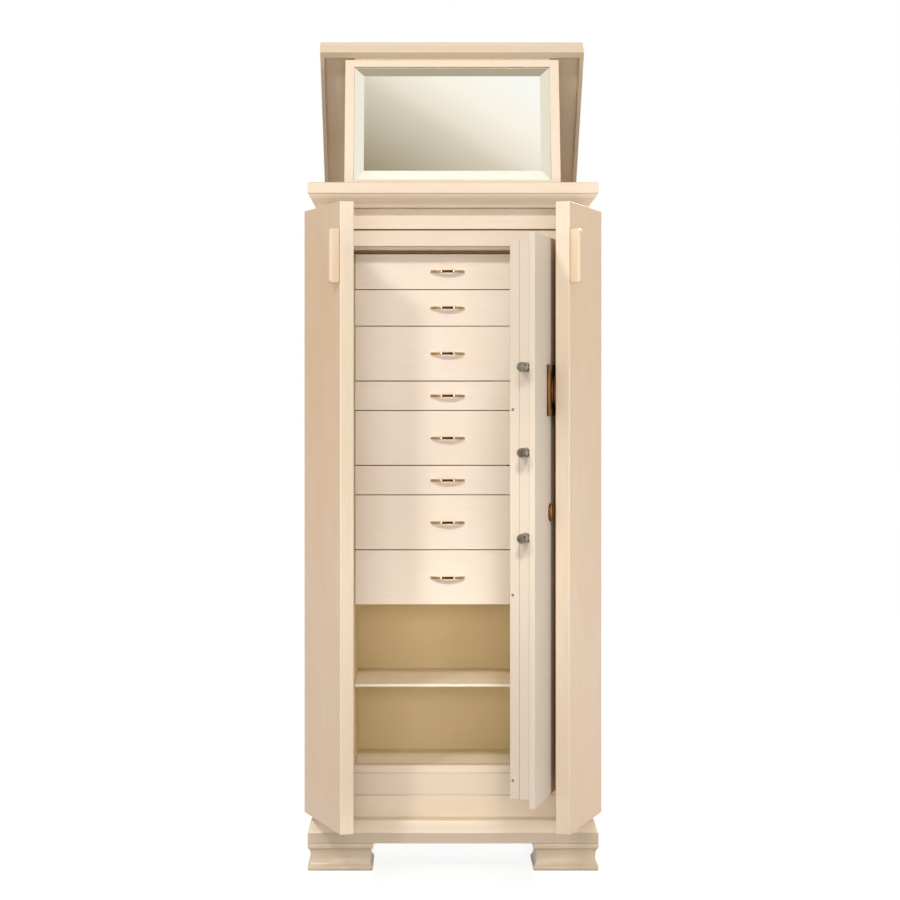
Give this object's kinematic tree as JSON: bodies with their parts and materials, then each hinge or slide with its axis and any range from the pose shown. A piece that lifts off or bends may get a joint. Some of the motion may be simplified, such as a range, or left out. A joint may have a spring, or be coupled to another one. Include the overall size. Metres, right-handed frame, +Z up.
{
  "type": "jewelry mirror cabinet",
  "caption": "Tall ivory jewelry cabinet on moulded feet: wooden doors over a steel safe with drawers and shelves, and a lid over a top tray with a fold-out mirror.",
  "frame": {"origin": "on the floor, at the middle in plan of the box round the cabinet as it stands in use, doors open and lid raised", "axes": "+X to the right as seen from the front, -Y towards the front, +Z up"},
  "size_m": [0.6226, 0.9011, 1.7534],
  "materials": {
    "lacquer": "satin ivory lacquer",
    "drawer_lacquer": "satin pale lacquer",
    "inner_boards": "satin tan lacquer",
    "lining": "matte lining on board",
    "backing_board": "matte board",
    "safe_paint": "satin ivory paint",
    "bolt_steel": "polished",
    "lock_bronze": "dark polished bronze",
    "brass": "polished",
    "silvered_glass": "polished, bevelled edge"
  },
  "bodies": {
    "cabinet": {"foot_front_left": "lacquer", "foot_front_right": "lacquer", "foot_back_left": "lacquer", "foot_back_right": "lacquer", "side_panel_left": "lacquer", "side_panel_right": "lacquer", "inner_back": "lining", "inner_side_left": "inner_boards", "inner_side_right": "inner_boards", "inner_floor": "inner_boards", "safe_shell": "safe_paint", "safe_frame": "safe_paint", "base_plinth": "lacquer", "back_panel": "backing_board", "top_rail": "lacquer", "bottom_rail": "lacquer", "cornice": "lacquer", "tray_floor": "lining", "shelf": "inner_boards", "divider_board": "inner_boards", "hinge_left_case_leaf": "brass", "hinge_right_case_leaf": "brass", "lid_hinge_case_leaf": "brass"},
    "left_door": {"door_left": "lacquer", "door_pull_left": "lacquer", "hinge_left_door_leaf": "brass"},
    "right_door": {"door_right": "lacquer", "door_pull_right": "lacquer", "hinge_right_door_leaf": "brass"},
    "safe_door": {"safe_door_plate": "safe_paint", "bolt_case": "safe_paint", "bolt_cover": "safe_paint", "lock_plate": "lock_bronze"},
    "bolts": {"locking_bolts": "bolt_steel"},
    "handle": {"lock_handle": "lock_bronze"},
    "key_turn": {"key_turn": "lock_bronze"},
    "lid": {"lid_rim": "lacquer", "lid_panel": "lacquer", "lid_hinge_lid_leaf": "brass", "mirror_hinge_lid_leaf": "brass"},
    "mirror": {"mirror_frame": "lacquer", "mirror_glass": "silvered_glass", "mirror_backing": "backing_board", "mirror_hinge_frame_leaf": "brass"},
    "drawer_1": {"drawer_1": "drawer_lacquer", "drawer_pull_1": "brass"},
    "drawer_2": {"drawer_2": "drawer_lacquer", "drawer_pull_2": "brass"},
    "drawer_3": {"drawer_3": "drawer_lacquer", "drawer_pull_3": "brass"},
    "drawer_4": {"drawer_4": "drawer_lacquer", "drawer_pull_4": "brass"},
    "drawer_5": {"drawer_5": "drawer_lacquer", "drawer_pull_5": "brass"},
    "drawer_6": {"drawer_6": "drawer_lacquer", "drawer_pull_6": "brass"},
    "drawer_7": {"drawer_7": "drawer_lacquer", "drawer_pull_7": "brass"},
    "drawer_8": {"drawer_8": "drawer_lacquer", "drawer_pull_8": "brass"}
  },
  "joints": [
    {"name": "left_door_hinge", "type": "hinge", "parent": "cabinet", "child": "left_door", "pos_m": [-0.2834, 0.017, 0.74], "axis": [0, 0, -1], "range_deg": [-72.6, 17.4]},
    {"name": "right_door_hinge", "type": "hinge", "parent": "cabinet", "child": "right_door", "pos_m": [0.2834, 0.017, 0.74], "axis": [0, 0, 1], "range_deg": [-72.6, 5]},
    {"name": "safe_door_hinge", "type": "hinge", "parent": "cabinet", "child": "safe_door", "pos_m": [0.2505, 0.0325, 0.754], "axis": [0, 0, 1], "range_deg": [-77, 5.5]},
    {"name": "bolt_slide", "type": "slide", "parent": "safe_door", "child": "bolts", "axis": [-0.225, -0.9744, 0], "range_m": [-0.041, 0.003]},
    {"name": "lock_handle_turn", "type": "hinge", "parent": "safe_door", "child": "handle", "pos_m": [0.18796, -0.23837, 1], "axis": [0.9744, -0.225, 0], "range_deg": [-90, 6.4]},
    {"name": "key_turn_hinge", "type": "hinge", "parent": "safe_door", "child": "key_turn", "pos_m": [0.18301, -0.25981, 0.758], "axis": [0.9744, -0.225, 0], "range_deg": [0, 90]},
    {"name": "lid_hinge", "type": "hinge", "parent": "cabinet", "child": "lid", "pos_m": [0, 0.4305, 1.4385], "axis": [-1, 0, 0], "range_deg": [-45.05, 0]},
    {"name": "mirror_hinge", "type": "hinge", "parent": "lid", "child": "mirror", "pos_m": [0, 0.15271, 1.71635], "axis": [1, 0, 0], "range_deg": [0, 60.95]},
    {"name": "drawer_1_slide", "type": "slide", "parent": "cabinet", "child": "drawer_1", "axis": [0, -1, 0], "range_m": [0, 0.24]},
    {"name": "drawer_2_slide", "type": "slide", "parent": "cabinet", "child": "drawer_2", "axis": [0, -1, 0], "range_m": [0, 0.24]},
    {"name": "drawer_3_slide", "type": "slide", "parent": "cabinet", "child": "drawer_3", "axis": [0, -1, 0], "range_m": [0, 0.24]},
    {"name": "drawer_4_slide", "type": "slide", "parent": "cabinet", "child": "drawer_4", "axis": [0, -1, 0], "range_m": [0, 0.24]},
    {"name": "drawer_5_slide", "type": "slide", "parent": "cabinet", "child": "drawer_5", "axis": [0, -1, 0], "range_m": [0, 0.24]},
    {"name": "drawer_6_slide", "type": "slide", "parent": "cabinet", "child": "drawer_6", "axis": [0, -1, 0], "range_m": [0, 0.24]},
    {"name": "drawer_7_slide", "type": "slide", "parent": "cabinet", "child": "drawer_7", "axis": [0, -1, 0], "range_m": [0, 0.24]},
    {"name": "drawer_8_slide", "type": "slide", "parent": "cabinet", "child": "drawer_8", "axis": [0, -1, 0], "range_m": [0, 0.24]}
  ],
  "couplings": [
    {"joint": "safe_door_hinge", "follows": "right_door_hinge", "ratio": 1.0606},
    {"joint": "bolt_slide", "follows": "right_door_hinge", "m_per_rad": 0.03235},
    {"joint": "lock_handle_turn", "follows": "right_door_hinge", "ratio": 1.2396},
    {"joint": "mirror_hinge", "follows": "lid_hinge", "ratio": -1.3529}
  ]
}
